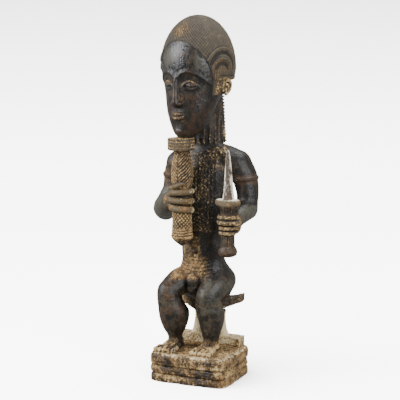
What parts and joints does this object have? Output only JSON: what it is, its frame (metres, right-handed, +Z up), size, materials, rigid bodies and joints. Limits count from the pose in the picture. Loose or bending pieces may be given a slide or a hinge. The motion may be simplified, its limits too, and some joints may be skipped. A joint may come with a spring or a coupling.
{
  "type": "seated figure",
  "caption": "Carved hardwood figure seated on a stool above a grooved block, with a ringed staff under the chin in one hand and an upright dagger in the other.",
  "frame": {"origin": "centre of the plinth's flat underside", "axes": "+Z up along the figure, -Y the way the figure faces, +X its left"},
  "size_m": [0.1478, 0.1109, 0.4811],
  "materials": {
    "patinated_wood": "dark patinated hardwood, rubbed to a soft sheen, with ochre crust in the hollows and worn pale paint on the blade"
  },
  "bodies": {
    "root": {"seated_figure": "patinated_wood"}
  },
  "joints": []
}
